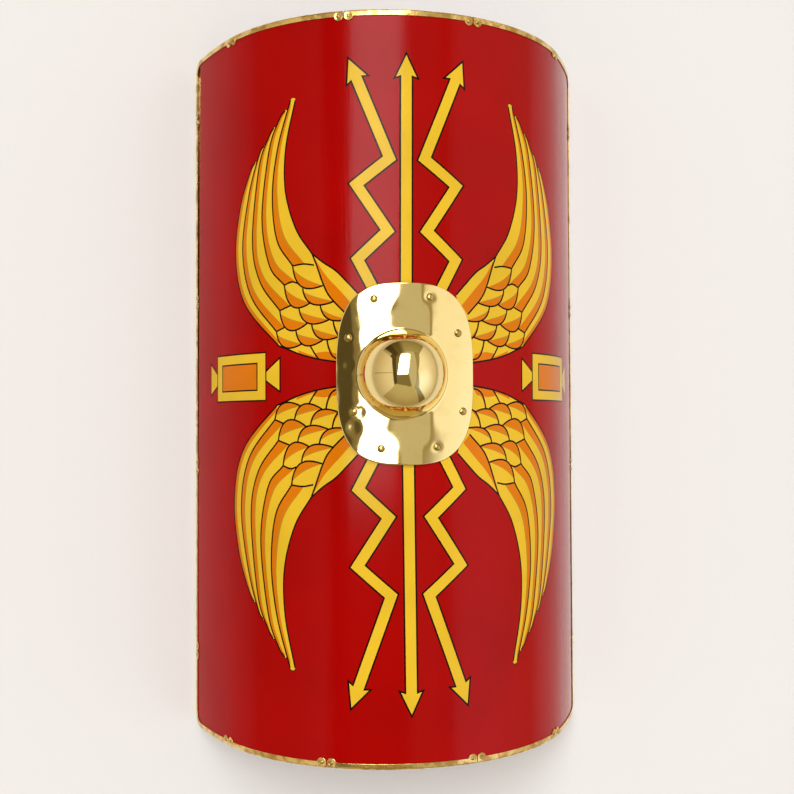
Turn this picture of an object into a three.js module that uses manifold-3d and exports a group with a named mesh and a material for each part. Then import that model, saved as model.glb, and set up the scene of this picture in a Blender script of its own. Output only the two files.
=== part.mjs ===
// A curved rectangular infantry shield, lying face up on the rims of its two long sides.
// Millimetres. +Z points up out of the face, +Y to the shield's top edge, +X to its right.
// The origin is on the floor, under the middle of the shield.
//
// Most sizes are given on the unrolled face: u round the face from its middle, v up it, and n out
// from the board's front skin. bend() carries such a point into space.
import * as THREE from "three";
import { mergeVertices } from "three/addons/utils/BufferGeometryUtils.js";
import Module from "manifold-3d";

const wasm = await Module();
wasm.setup();

// The board, a bent sheet of plywood
const TOTAL_HEIGHT = 1050;
const CENTRE_RADIUS = 288;
const CENTRE_HALF_ARC = 308;
const FLANK_RADIUS = 730;
const BOARD_HALF_ARC = 436;
const BOARD_THICKNESS = 9;
const CORNER_RADIUS = 20;
const CENTRE_COLUMNS = 26;
const FLANK_COLUMNS = 3;
const CORNER_STEPS = 3;

// The hand hole, and the boss whose dome covers it
const DOME = { u: -8, v: 18 };
const HAND_HOLE_RADIUS = 57;
const PLATE = { u: -4, v: 18, halfWidth: 97, halfHeight: 125.5, squareness: 3 };
const SHEET = 1.5;
const PLATE_GAP = 0.6;
const DOME_RADIUS = 61;
const DOME_RISE = 60;
const DOME_FOOT = 65.5;
const PLATE_EDGE = 100;
const DOME_RINGS = 6;
const BOSS_SECTORS = 36;

// The rivets that hold the boss, placed by hand, so not quite evenly
const RIVET_PLACES = [
  [-48, 121], [29, 124], [70, 75], [77, -34],
  [38, -83], [-39, -85], [-76, -34], [-84, 68],
];
const RIVET = { shank: 2, head: 5.2, shoulder: [[0.62, 0.8]], rise: 3.2, tail: 4, sides: 8 };
const RIVET_HOLE = 2.7;

// The grip, a wooden bar across the hand hole, behind the board
const GRIP_ENDS = [-103, 87];
const GRIP_HALF_DEPTH = 16;
const GRIP_BACK_Z = 234;
const GRIP_END_RISE = 4;
const GRIP_GAP = 0.5;
const GRIP_STEPS = 12;

// The rim, a folded brass channel in sections that meet at seams, each end a round lobe with a nail
const RIM_SHEET = 0.9;
const RIM_GAP = 0.45;
const LIP = 5;
const EDGE_REST = 4.15;
const SEAM_GAP = 1.5;
const LOBE_RADIUS = 6.4;
const NAIL_INSET = 4.2;
const NAIL = { shank: 1.1, head: 2.7, shoulder: [], rise: 1.5, tail: 2.4, sides: 5 };
const NAIL_HOLE = 2.05;
const SEAMS = {
  top: [-294, -90, 97, 296],
  right: [430, 134, -120, -405],
  bottom: [277, 97, -117, -305],
  left: [-407, -117, 141, 434],
};
const RIM_NAMES = [
  "rim_top_left", "rim_top_middle", "rim_top_right", "rim_corner_top_right",
  "rim_right_upper", "rim_right_middle", "rim_right_lower", "rim_corner_bottom_right",
  "rim_bottom_right", "rim_bottom_middle", "rim_bottom_left", "rim_corner_bottom_left",
  "rim_left_lower", "rim_left_middle", "rim_left_upper", "rim_corner_top_left",
];

// What follows from those sizes
const CENTRE_ANGLE = CENTRE_HALF_ARC / CENTRE_RADIUS;
const EDGE_ANGLE = CENTRE_ANGLE + (BOARD_HALF_ARC - CENTRE_HALF_ARC) / FLANK_RADIUS;
const EDGE_DROP = CENTRE_RADIUS * (1 - Math.cos(CENTRE_ANGLE))
  + FLANK_RADIUS * (Math.cos(CENTRE_ANGLE) - Math.cos(EDGE_ANGLE));
const RIDGE_Z = EDGE_DROP + EDGE_REST;

// How far out of the board's bare edge the rim reaches at depth n, so that it lies flat on the floor
const restReach = (n) => (EDGE_REST + n * Math.cos(EDGE_ANGLE)) / Math.sin(EDGE_ANGLE);
const REST_FRONT = { t: restReach(-2), n: -2 };
const REST_BACK = { t: restReach(-8), n: -8 };
const BOARD_HALF_HEIGHT = TOTAL_HEIGHT / 2 - REST_FRONT.t;
const STRAIGHT_U = BOARD_HALF_ARC - CORNER_RADIUS;
const STRAIGHT_V = BOARD_HALF_HEIGHT - CORNER_RADIUS;

// The tilt of the face at u, from upright at the ridge to EDGE_ANGLE at the board's edge and past it
function tilt(u) {
  const arc = Math.min(Math.abs(u), BOARD_HALF_ARC);
  const flank = Math.max(arc - CENTRE_HALF_ARC, 0) / FLANK_RADIUS;
  return Math.sign(u) * (Math.min(arc, CENTRE_HALF_ARC) / CENTRE_RADIUS + flank);
}

// The unrolled point (u, v, n) in space. Past the board's edge the surface runs straight on.
function bend(u, v, n) {
  const side = Math.sign(u);
  const angle = Math.abs(tilt(u));
  const bent = Math.min(angle, CENTRE_ANGLE);
  const over = Math.max(Math.abs(u) - BOARD_HALF_ARC, 0);
  const across = CENTRE_RADIUS * Math.sin(bent) + FLANK_RADIUS * (Math.sin(angle) - Math.sin(bent));
  const drop = CENTRE_RADIUS * (1 - Math.cos(bent)) + FLANK_RADIUS * (Math.cos(bent) - Math.cos(angle));
  const x = side * (across + over * Math.cos(angle) + n * Math.sin(angle));
  return new THREE.Vector3(x, v, RIDGE_Z - drop - over * Math.sin(angle) + n * Math.cos(angle));
}

// Moves every vertex of a geometry to place(x, y, z)
function reshape(geometry, place) {
  const position = geometry.getAttribute("position");
  for (let i = 0; i < position.count; i += 1) {
    const to = place(position.getX(i), position.getY(i), position.getZ(i));
    position.setXYZ(i, to.x, to.y, to.z);
  }
  return closed(geometry);
}

// A geometry with only its positions, and its shared vertices merged
function closed(geometry) {
  geometry.deleteAttribute("normal");
  geometry.deleteAttribute("uv");
  return mergeVertices(geometry, 1e-4);
}

function toSolid(geometry) {
  const vertProperties = new Float32Array(geometry.getAttribute("position").array);
  const triVerts = new Uint32Array(geometry.index.array);
  return new wasm.Manifold(new wasm.Mesh({ numProp: 3, vertProperties, triVerts }));
}

function toGeometry(solid) {
  const mesh = solid.getMesh();
  const geometry = new THREE.BufferGeometry();
  geometry.setAttribute("position", new THREE.BufferAttribute(new Float32Array(mesh.vertProperties), 3));
  geometry.setIndex(new THREE.BufferAttribute(new Uint32Array(mesh.triVerts), 1));
  return geometry;
}

function drill(geometry, cutters) {
  let solid = toSolid(geometry);
  for (const cutter of cutters) {
    solid = solid.subtract(toSolid(cutter));
  }
  return toGeometry(solid);
}

// Stands a turned piece on the face at (u, v), its axis out along the face's normal
function standOn(object, u, v) {
  object.position.copy(bend(u, v, 0));
  const normal = new THREE.Vector3(Math.sin(tilt(u)), 0, Math.cos(tilt(u)));
  object.quaternion.setFromUnitVectors(new THREE.Vector3(0, 1, 0), normal);
  return object;
}

function holeCutter(u, v, radius, sides) {
  const place = standOn(new THREE.Object3D(), u, v);
  place.updateMatrix();
  const geometry = closed(new THREE.CylinderGeometry(radius, radius, 60, sides));
  return geometry.applyMatrix4(place.matrix);
}

const MATERIALS = {
  paint: new THREE.MeshStandardMaterial({ color: 0xa80c05, roughness: 0.3, metalness: 0 }),
  brass: new THREE.MeshStandardMaterial({ color: 0xe2c274, roughness: 0.12, metalness: 1 }),
  rivetBrass: new THREE.MeshStandardMaterial({ color: 0xb79a55, roughness: 0.25, metalness: 1 }),
  rimBrass: new THREE.MeshStandardMaterial({ color: 0xd2ae68, roughness: 0.25, metalness: 1 }),
  wood: new THREE.MeshStandardMaterial({ color: 0xa9794a, roughness: 0.55, metalness: 0 }),
};

const shield = new THREE.Group();

function addPiece(name, geometry, material) {
  const mesh = new THREE.Mesh(geometry, material);
  mesh.name = name;
  shield.add(mesh);
  return mesh;
}

// The board: a flat box bent to the face's curve, its columns closer together at the corners
function boardColumns() {
  const right = [];
  for (let i = 1; i <= CENTRE_COLUMNS / 2; i += 1) {
    right.push((CENTRE_HALF_ARC * i * 2) / CENTRE_COLUMNS);
  }
  for (let i = 1; i <= FLANK_COLUMNS; i += 1) {
    right.push(CENTRE_HALF_ARC + ((STRAIGHT_U - CENTRE_HALF_ARC) * i) / FLANK_COLUMNS);
  }
  for (let i = 1; i <= CORNER_STEPS; i += 1) {
    right.push(STRAIGHT_U + CORNER_RADIUS * Math.sin((Math.PI / 2) * (i / CORNER_STEPS)));
  }
  const left = right.map((u) => -u).reverse();
  return [...left, 0, ...right];
}

const COLUMNS = boardColumns();

function halfHeightAt(u) {
  const past = Math.max(Math.abs(u) - STRAIGHT_U, 0);
  return STRAIGHT_V + Math.sqrt(Math.max(CORNER_RADIUS ** 2 - past ** 2, 0));
}

function makeBoard(cutters) {
  const count = COLUMNS.length - 1;
  const flat = new THREE.BoxGeometry(count, 2, BOARD_THICKNESS, count, 1, 1);
  const bent = reshape(flat, (x, y, z) => {
    const u = COLUMNS[Math.round(x + count / 2)];
    return bend(u, Math.sign(y) * halfHeightAt(u), z - BOARD_THICKNESS / 2);
  });
  return drill(bent, cutters);
}

// The boss: a spun dome on a plate that follows the face, thin and hollow
function bossProfile() {
  const arc = (radius, rise, foot) => Array.from({ length: DOME_RINGS }, (_, i) => {
    const angle = (i * THREE.MathUtils.degToRad(82)) / (DOME_RINGS - 1);
    return new THREE.Vector2(radius * Math.sin(angle), foot + rise * Math.cos(angle));
  });
  const top = PLATE_GAP + SHEET;
  const outside = [
    ...arc(DOME_RADIUS, DOME_RISE, top),
    new THREE.Vector2(DOME_RADIUS + 1, top + 2.5),
    new THREE.Vector2(DOME_FOOT, top),
    new THREE.Vector2((DOME_FOOT + PLATE_EDGE) / 2, top),
    new THREE.Vector2(PLATE_EDGE, top),
  ];
  const inside = [
    ...arc(DOME_RADIUS - SHEET, DOME_RISE, PLATE_GAP),
    new THREE.Vector2(DOME_RADIUS - 0.3, PLATE_GAP + 1.9),
    new THREE.Vector2(DOME_FOOT - 1, PLATE_GAP),
    new THREE.Vector2((DOME_FOOT + PLATE_EDGE) / 2, PLATE_GAP),
    new THREE.Vector2(PLATE_EDGE, PLATE_GAP),
  ];
  return [...inside, ...outside.reverse()];
}

function plateOutline(angle) {
  const power = PLATE.squareness;
  const across = Math.abs(Math.cos(angle) / PLATE.halfWidth) ** power;
  const up = Math.abs(Math.sin(angle) / PLATE.halfHeight) ** power;
  return (across + up) ** (-1 / power);
}

function makeBoss(cutters) {
  const spun = new THREE.LatheGeometry(bossProfile(), BOSS_SECTORS);
  const top = PLATE_GAP + SHEET;
  const shaped = reshape(spun, (x, y, z) => {
    const radius = Math.hypot(x, z);
    const angle = Math.atan2(-z, x);
    const reach = Math.min(radius, DOME_FOOT);
    const out = Math.max(radius - DOME_FOOT, 0) / (PLATE_EDGE - DOME_FOOT);
    const edge = plateOutline(angle);
    const u = (1 - out) * (DOME.u + reach * Math.cos(angle)) + out * (PLATE.u + edge * Math.cos(angle));
    const v = (1 - out) * (DOME.v + reach * Math.sin(angle)) + out * (PLATE.v + edge * Math.sin(angle));
    const place = bend(u, v, Math.min(y, top));
    place.z += Math.max(y - top, 0);
    return place;
  });
  return drill(shaped, cutters);
}

// A turned rivet or nail: a low head in front, a shank, and a smaller head closed up behind
function turnedPin({ shank, head, shoulder, rise, seat, back, tail, sides }) {
  const profile = [
    new THREE.Vector2(0, back - tail * 0.45),
    new THREE.Vector2(tail, back),
    new THREE.Vector2(shank, back),
    new THREE.Vector2(shank, seat),
    new THREE.Vector2(head, seat),
    ...shoulder.map(([r, h]) => new THREE.Vector2(head * r, seat + rise * h)),
    new THREE.Vector2(0, seat + rise),
  ];
  return closed(new THREE.LatheGeometry(profile, sides));
}

// The grip: an eight-sided bar whose front follows the board's back skin, flat behind
function makeGrip() {
  const section = new THREE.Shape([
    new THREE.Vector2(-0.6, 0), new THREE.Vector2(0.6, 0), new THREE.Vector2(1, 0.35),
    new THREE.Vector2(1, 0.7), new THREE.Vector2(0.7, 1), new THREE.Vector2(-0.7, 1),
    new THREE.Vector2(-1, 0.7), new THREE.Vector2(-1, 0.35),
  ]);
  const bar = new THREE.ExtrudeGeometry(section, { depth: 1, steps: GRIP_STEPS, bevelEnabled: false });
  const roofRadius = CENTRE_RADIUS - BOARD_THICKNESS - GRIP_GAP;
  return reshape(bar, (a, b, s) => {
    const x = THREE.MathUtils.lerp(GRIP_ENDS[1], GRIP_ENDS[0], s);
    const roof = RIDGE_Z - CENTRE_RADIUS + Math.sqrt(roofRadius ** 2 - x ** 2);
    const fromEnd = Math.min(s, 1 - s) * GRIP_STEPS;
    const back = GRIP_BACK_Z + GRIP_END_RISE * Math.max(1 - fromEnd, 0);
    return new THREE.Vector3(x, DOME.v + GRIP_HALF_DEPTH * -a, THREE.MathUtils.lerp(back, roof, b));
  });
}

// The rim's path runs clockwise round the board's edge, from the middle of the top
const CORNER_ARC = (CORNER_RADIUS * Math.PI) / 2;
const SIDE_STARTS = {
  top: 0,
  right: STRAIGHT_U + CORNER_ARC,
  bottom: STRAIGHT_U + 2 * CORNER_ARC + 2 * STRAIGHT_V,
  left: 3 * STRAIGHT_U + 3 * CORNER_ARC + 2 * STRAIGHT_V,
};
const PERIMETER = 4 * STRAIGHT_U + 4 * CORNER_ARC + 4 * STRAIGHT_V;

function alongRim(side, place) {
  return {
    top: place,
    right: SIDE_STARTS.right + STRAIGHT_V - place,
    bottom: SIDE_STARTS.bottom + STRAIGHT_U - place,
    left: SIDE_STARTS.left + STRAIGHT_V + place,
  }[side];
}

// The edge's place and outward direction on the unrolled face, at the distance p along the path
function edgeAt(p) {
  const quarter = [
    { start: 0, length: STRAIGHT_U, corner: 0 },
    { start: SIDE_STARTS.right, length: 2 * STRAIGHT_V, corner: 1 },
    { start: SIDE_STARTS.bottom, length: 2 * STRAIGHT_U, corner: 2 },
    { start: SIDE_STARTS.left, length: 2 * STRAIGHT_V, corner: 3 },
    { start: SIDE_STARTS.left + 2 * STRAIGHT_V + CORNER_ARC, length: STRAIGHT_U, corner: 4 },
  ];
  const q = ((p % PERIMETER) + PERIMETER) % PERIMETER;
  const run = quarter.filter((side) => side.start <= q + 1e-9).pop();
  const past = Math.max(q - run.start - run.length, 0);
  const straight = Math.min(q - run.start, run.length) + (run.corner === 0 ? STRAIGHT_U : 0);
  const turn = Math.PI / 2 - (run.corner % 4) * (Math.PI / 2);
  const angle = turn - past / CORNER_RADIUS;
  const out = [Math.cos(angle), Math.sin(angle)];
  const half = run.corner % 2 === 0 ? STRAIGHT_U : STRAIGHT_V;
  const depth = run.corner % 2 === 0 ? STRAIGHT_V : STRAIGHT_U;
  const centreAlong = [Math.sin(turn), -Math.cos(turn)];
  const centreOut = [Math.cos(turn), Math.sin(turn)];
  const along = straight - half;
  return {
    u: centreAlong[0] * along + centreOut[0] * depth + out[0] * CORNER_RADIUS,
    v: centreAlong[1] * along + centreOut[1] * depth + out[1] * CORNER_RADIUS,
    out,
  };
}

// Every place on the path where the board's edge turns a little
function rimKnots() {
  const knots = [];
  for (const u of COLUMNS.filter((column) => Math.abs(column) <= STRAIGHT_U + 1e-6)) {
    knots.push(alongRim("top", u), alongRim("bottom", u));
  }
  const cornerStarts = [
    STRAIGHT_U,
    SIDE_STARTS.right + 2 * STRAIGHT_V,
    SIDE_STARTS.bottom + 2 * STRAIGHT_U,
    SIDE_STARTS.left + 2 * STRAIGHT_V,
  ];
  for (const start of cornerStarts) {
    for (let i = 0; i <= CORNER_STEPS; i += 1) {
      knots.push(start + (CORNER_ARC * i) / CORNER_STEPS);
    }
  }
  return knots.flatMap((p) => [p - PERIMETER, p, p + PERIMETER]).sort((a, b) => a - b);
}

const KNOTS = rimKnots();
const LOBE_STEPS = [0, 2.5, 2 * LOBE_RADIUS - 2.5, 2 * LOBE_RADIUS];

function lobeReach(fromEnd) {
  const away = fromEnd - LOBE_RADIUS;
  const bulge = LOBE_RADIUS ** 2 - away ** 2;
  return Math.max(LIP, NAIL_INSET + Math.sqrt(Math.max(bulge, 0)));
}

function rimStations(start, end) {
  const lobes = 2 * LOBE_RADIUS + 1;
  const middle = KNOTS.filter((p, i) => p > start + lobes && p < end - lobes && p - KNOTS[i - 1] > 0.01);
  const places = [
    ...LOBE_STEPS.map((s) => start + s),
    ...middle,
    ...LOBE_STEPS.map((s) => end - s).reverse(),
  ];
  return places.map((p) => ({ ...edgeAt(p), lip: lobeReach(Math.min(p - start, end - p)) }));
}

// The channel's section: t out past the board's bare edge, n out from its front skin
const FRONT = RIM_GAP + RIM_SHEET;
const BACK = -(BOARD_THICKNESS + RIM_GAP + RIM_SHEET);
const CHANNEL = new THREE.Shape([
  new THREE.Vector2(-LIP, FRONT),
  new THREE.Vector2(-LIP, RIM_GAP),
  new THREE.Vector2(0.9, RIM_GAP),
  new THREE.Vector2(0.3, BACK + RIM_SHEET),
  new THREE.Vector2(-LIP, BACK + RIM_SHEET),
  new THREE.Vector2(-LIP, BACK),
  new THREE.Vector2(0.5, BACK),
  new THREE.Vector2(REST_BACK.t, REST_BACK.n),
  new THREE.Vector2(REST_FRONT.t, REST_FRONT.n),
  new THREE.Vector2(1.2, FRONT),
]);

function makeRimSection(start, end, cutters) {
  const stations = rimStations(start, end);
  const steps = stations.length - 1;
  const channel = new THREE.ExtrudeGeometry(CHANNEL, { depth: steps, steps, bevelEnabled: false });
  const shaped = reshape(channel, (t, n, s) => {
    const station = stations[Math.round(s)];
    const reach = t <= -LIP ? -station.lip : t;
    return bend(station.u + reach * station.out[0], station.v + reach * station.out[1], n);
  });
  return drill(shaped, cutters);
}

function nailPlace(p) {
  const edge = edgeAt(p);
  return [edge.u - NAIL_INSET * edge.out[0], edge.v - NAIL_INSET * edge.out[1]];
}

const seamPlaces = Object.entries(SEAMS).flatMap(([side, places]) => places.map((p) => alongRim(side, p)));
const sections = RIM_NAMES.map((name, i) => {
  const next = i + 1 < seamPlaces.length ? seamPlaces[i + 1] : seamPlaces[0] + PERIMETER;
  const start = seamPlaces[i] + SEAM_GAP / 2;
  const end = next - SEAM_GAP / 2;
  return { name, start, end, nails: [nailPlace(start + LOBE_RADIUS), nailPlace(end - LOBE_RADIUS)] };
});

const rivetCutters = RIVET_PLACES.map(([u, v]) => holeCutter(u, v, RIVET_HOLE, 6));
const nailCutters = sections.flatMap(({ nails }) => nails.map(([u, v]) => holeCutter(u, v, NAIL_HOLE, 4)));
const handHole = holeCutter(DOME.u, DOME.v, HAND_HOLE_RADIUS, 24);

addPiece("board", makeBoard([handHole, ...rivetCutters, ...nailCutters]), MATERIALS.paint);
addPiece("boss", makeBoss(rivetCutters), MATERIALS.brass);
addPiece("grip", makeGrip(), MATERIALS.wood);

RIVET_PLACES.forEach(([u, v], i) => {
  const seat = PLATE_GAP + SHEET + 0.3;
  const back = -(BOARD_THICKNESS + 0.3);
  const rivet = turnedPin({ ...RIVET, seat, back });
  standOn(addPiece(`boss_rivet_${i + 1}`, rivet, MATERIALS.rivetBrass), u, v);
});

sections.forEach(({ name, start, end, nails }, i) => {
  const cutters = nails.map(([u, v]) => holeCutter(u, v, NAIL_HOLE, 4));
  addPiece(name, makeRimSection(start, end, cutters), MATERIALS.rimBrass);
  nails.forEach(([u, v], j) => {
    const nail = turnedPin({ ...NAIL, seat: FRONT + 0.3, back: BACK - 0.3 });
    const number = String(2 * i + j + 1).padStart(2, "0");
    standOn(addPiece(`rim_nail_${number}`, nail, MATERIALS.rivetBrass), u, v);
  });
});

export default shield;
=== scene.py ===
# %% [markdown]
# A legionary's shield: a board bent from plywood and painted with a red enamel ground and gold
# wings and lightning, a spun brass boss over the hand hole, a brass rim in folded sections, and a
# wooden grip behind. It lies face up on the rims of its two long sides.
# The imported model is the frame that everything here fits: sizes and places are read from it.

import math

import bpy
import numpy as np
from mathutils import Matrix, Vector, noise
from mathutils.geometry import delaunay_2d_cdt


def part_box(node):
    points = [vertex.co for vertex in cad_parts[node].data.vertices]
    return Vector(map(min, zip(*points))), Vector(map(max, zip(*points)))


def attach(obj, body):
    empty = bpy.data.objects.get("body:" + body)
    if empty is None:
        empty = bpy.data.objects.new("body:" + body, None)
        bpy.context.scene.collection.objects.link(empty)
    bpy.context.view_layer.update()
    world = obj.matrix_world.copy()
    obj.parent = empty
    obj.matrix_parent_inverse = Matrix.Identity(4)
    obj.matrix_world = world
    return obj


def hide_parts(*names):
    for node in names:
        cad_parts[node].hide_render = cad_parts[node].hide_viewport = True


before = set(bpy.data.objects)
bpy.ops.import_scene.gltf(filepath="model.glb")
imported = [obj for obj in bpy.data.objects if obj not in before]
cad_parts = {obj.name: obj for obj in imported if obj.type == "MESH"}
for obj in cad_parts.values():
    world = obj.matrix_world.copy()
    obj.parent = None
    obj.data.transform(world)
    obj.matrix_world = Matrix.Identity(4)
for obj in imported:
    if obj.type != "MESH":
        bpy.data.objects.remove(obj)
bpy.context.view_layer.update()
MM = 0.001

# %% [markdown]
# Drawing on a curved shield is easiest on a flat sheet. So every shape is first laid out on the
# face as if it were unrolled: u goes round the face from its middle, v goes up it, and n stands
# out from the paint, all in millimetres. One function then bends the sheet, round a small radius
# in the middle and a larger one towards the two edges, and gives the place in metres.

# %% The unrolled face
CENTRE_RADIUS = 288
CENTRE_HALF_ARC = 308
FLANK_RADIUS = 730
BOARD_HALF_ARC = 436
BOARD_THICKNESS = 9
CORNER_RADIUS = 20

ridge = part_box("board")[1].z / MM
board_half_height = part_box("board")[1].y / MM
centre_angle = CENTRE_HALF_ARC / CENTRE_RADIUS


def tilt(u):
    """How far the face leans from level at u, in radians."""
    arc = min(abs(u), BOARD_HALF_ARC)
    flank = max(arc - CENTRE_HALF_ARC, 0) / FLANK_RADIUS
    return math.copysign(min(arc, CENTRE_HALF_ARC) / CENTRE_RADIUS + flank, u)


def bend(u, v, n=0):
    """The place in space, in metres, of a point on the unrolled face."""
    angle = abs(tilt(u))
    bent = min(angle, centre_angle)
    over = max(abs(u) - BOARD_HALF_ARC, 0)
    across = CENTRE_RADIUS * math.sin(bent) + FLANK_RADIUS * (math.sin(angle) - math.sin(bent))
    drop = CENTRE_RADIUS * (1 - math.cos(bent)) + FLANK_RADIUS * (math.cos(bent) - math.cos(angle))
    x = across + over * math.cos(angle) + n * math.sin(angle)
    z = ridge - drop - over * math.sin(angle) + n * math.cos(angle)
    return Vector((math.copysign(x, u), v, z)) * MM


def out_of_face(u):
    """The direction straight out of the face at u."""
    return Vector((math.sin(tilt(u)), 0, math.cos(tilt(u))))


print(f"the face leans {math.degrees(tilt(BOARD_HALF_ARC)):.1f} degrees at its edges")

# %% [markdown]
# The camera looks down on the face from a little over a metre and a half, from left of the middle,
# so the left flank shows more than the right. Its aim is a point on the ridge of the face, which
# is easier to adjust than three angles. A quarter of a degree of roll is left in, as a camera held
# on a stand by hand has.

# %% The camera
EYE = Vector((-202, -46, ridge + 1504)) * MM
AIM = Vector((-17.1, -14, ridge)) * MM
LENS = 49.87
ROLL = math.radians(-0.24)


def shown(name, data):
    """A new object in the scene."""
    made = bpy.data.objects.new(name, data)
    bpy.context.scene.collection.objects.link(made)
    return made


camera = shown("camera", bpy.data.cameras.new("camera"))
camera.data.lens = LENS
camera.data.sensor_width = 36
forward = (AIM - EYE).normalized()
right = forward.cross(Vector((0, 1, 0))).normalized()
level = Matrix((right, right.cross(forward), -forward)).transposed()
camera.matrix_world = Matrix.Translation(EYE) @ (level @ Matrix.Rotation(ROLL, 3, "Z")).to_4x4()
bpy.context.scene.camera = camera
print("the camera stands", round((AIM - EYE).length, 3), "m from its aim")

# %% [markdown]
# A material is a small graph. Two helpers keep its recipe readable. Wire stands for the end of a
# connection and takes plain sums, so 1 - mask adds a Math node. Recipe adds any other node: first
# its settings, then what its sockets get, a number or a wire.

# %% Wires and recipes
class Wire:
    """One output socket, which sums can be written with."""

    def __init__(self, recipe, socket):
        self.recipe = recipe
        self.socket = socket

    def maths(self, operation, first, second=0.0):
        made = self.recipe.node("ShaderNodeMath", {"operation": operation}, {0: first, 1: second})
        return made["Value"]

    def __add__(self, other):
        return self.maths("ADD", self, other)

    def __radd__(self, other):
        return self.maths("ADD", other, self)

    def __sub__(self, other):
        return self.maths("SUBTRACT", self, other)

    def __rsub__(self, other):
        return self.maths("SUBTRACT", other, self)

    def __mul__(self, other):
        return self.maths("MULTIPLY", self, other)

    def __rmul__(self, other):
        return self.maths("MULTIPLY", other, self)

    def __pow__(self, other):
        return self.maths("POWER", self, other)

    def above(self, low, high):
        """0 below low, 1 over high, and smooth between."""
        made = self.recipe.node(
            "ShaderNodeMapRange", {"interpolation_type": "SMOOTHSTEP"},
            {"Value": self, "From Min": low, "From Max": high},
        )
        return made["Result"]


class Recipe:
    """A material's graph, with its shader ready to be wired."""

    def __init__(self, name):
        self.material = bpy.data.materials.new(name)
        self.material.use_nodes = True
        self.tree = self.material.node_tree
        self.shader = self.tree.nodes["Principled BSDF"]

    def node(self, kind, settings=None, sockets=None):
        """Adds a node and returns its outputs as wires, by name."""
        made = self.tree.nodes.new(kind)
        for name, value in (settings or {}).items():
            setattr(made, name, value)
        for name, value in (sockets or {}).items():
            self.fill(made.inputs[name], value)
        return {output.name: Wire(self, output) for output in made.outputs if output.enabled}

    def fill(self, socket, value):
        if isinstance(value, Wire):
            self.tree.links.new(value.socket, socket)
        else:
            socket.default_value = value

    def place(self, scale=(1, 1, 1)):
        """Object coordinates, stretched by scale, so a pattern stays on its piece."""
        spot = self.node("ShaderNodeTexCoord")["Object"]
        return self.node("ShaderNodeMapping", {}, {"Vector": spot, "Scale": scale})["Vector"]

    def noise(self, scale, detail=3.0, stretch=(1, 1, 1), roughness=0.5):
        sockets = {"Vector": self.place(stretch), "Scale": scale, "Detail": detail, "Roughness": roughness}
        return self.node("ShaderNodeTexNoise", {}, sockets)["Fac"]

    def blend(self, factor, first, second, kind="MIX"):
        """Colour first where factor is 0, colour second where it is 1."""
        made = self.tree.nodes.new("ShaderNodeMix")
        made.data_type = "RGBA"
        made.blend_type = kind
        for index, value in ((0, factor), (6, first), (7, second)):
            self.fill(made.inputs[index], value)
        return Wire(self, made.outputs[2])

    def bump(self, height, distance, strength=1.0):
        made = self.node("ShaderNodeBump", {}, {"Height": height, "Distance": distance, "Strength": strength})
        return made["Normal"]

    def finish(self, **sockets):
        for name, value in sockets.items():
            self.fill(self.shader.inputs[name.replace("_", " ")], value)
        return self.material


def rgb(red, green, blue):
    """A colour as 0 to 255 on a screen, in the linear light that a shader takes."""
    line = [c / 255 / 12.92 if c <= 10 else ((c / 255 + 0.055) / 1.055) ** 2.4 for c in (red, green, blue)]
    return (*line, 1.0)


# %% [markdown]
# Polished brass is mostly a picture of what stands round it, so the light is laid out as a maker's
# photographer would: inside a light tent, four lit walls and a dim roof with one bright window.
# It is painted on the world, as panels that are cones of directions with soft edges. A panel's
# corners are degrees away from straight overhead, across to the right and up the shield. The
# light then falls evenly on the whole floor, and no lamp stands in any picture.

# %% The room's light
ROOF = (0.60, 0.55, 0.42)
PANELS = [
    # softness, colour, corners
    (0.03, (0.39, 0.31, 0.16), [(19, 60), (36, 60), (36, -45), (19, -45)]),
    (0.03, (0.24, 0.19, 0.09), [(-45, 40), (-36, -30), (0, -34), (14, -34), (2, 0), (-20, 60)]),
    (0.02, (0.09, 0.07, 0.03), [(-46, 45), (-46, -20), (-34, -32), (-29, -20), (-33, 10), (-24, 60)]),
    (0.012, (6.0, 6.05, 6.2), [(-29, -4), (0, -3), (9, 47), (-17, 49)]),
    (0.015, (0.44, 0.39, 0.22), [(-34, 46), (40, 50), (90, 116), (-90, 96)]),
    (0.12, (0.16, 0.125, 0.05), [(-33, 40), (-8, 48), (-20, 116), (-84, 92)]),
    (0.02, (0.09, 0.065, 0.02), [(-33, 40), (-25, 48), (-62, 112), (-82, 90)]),
    (0.015, (0.56, 0.49, 0.30), [(-33, -26), (-3, -31), (28, -40), (56, -110), (-90, -84)]),
    (0.015, (0.28, 0.23, 0.11), [(26, -37), (36, -36), (90, -100), (50, -105)]),
    (0.015, (0.86, 0.78, 0.64), [(-39, 33), (-42, 5), (-33, -27), (-88, -84), (-84, 92)]),
    (0.015, (1.08, 1.02, 0.92), [(37, 47), (31, 4), (36, -36), (88, -100), (90, 116)]),
]
SEAM = [(-42, 1.8), (-42, 0.6), (-112, 1.4), (-112, 3.4)]
SEAM_SOFTNESS = 0.008
SEAM_STRENGTH = 0.7
GLOW = (52, -24)
GLOW_SPREAD = 34


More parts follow.
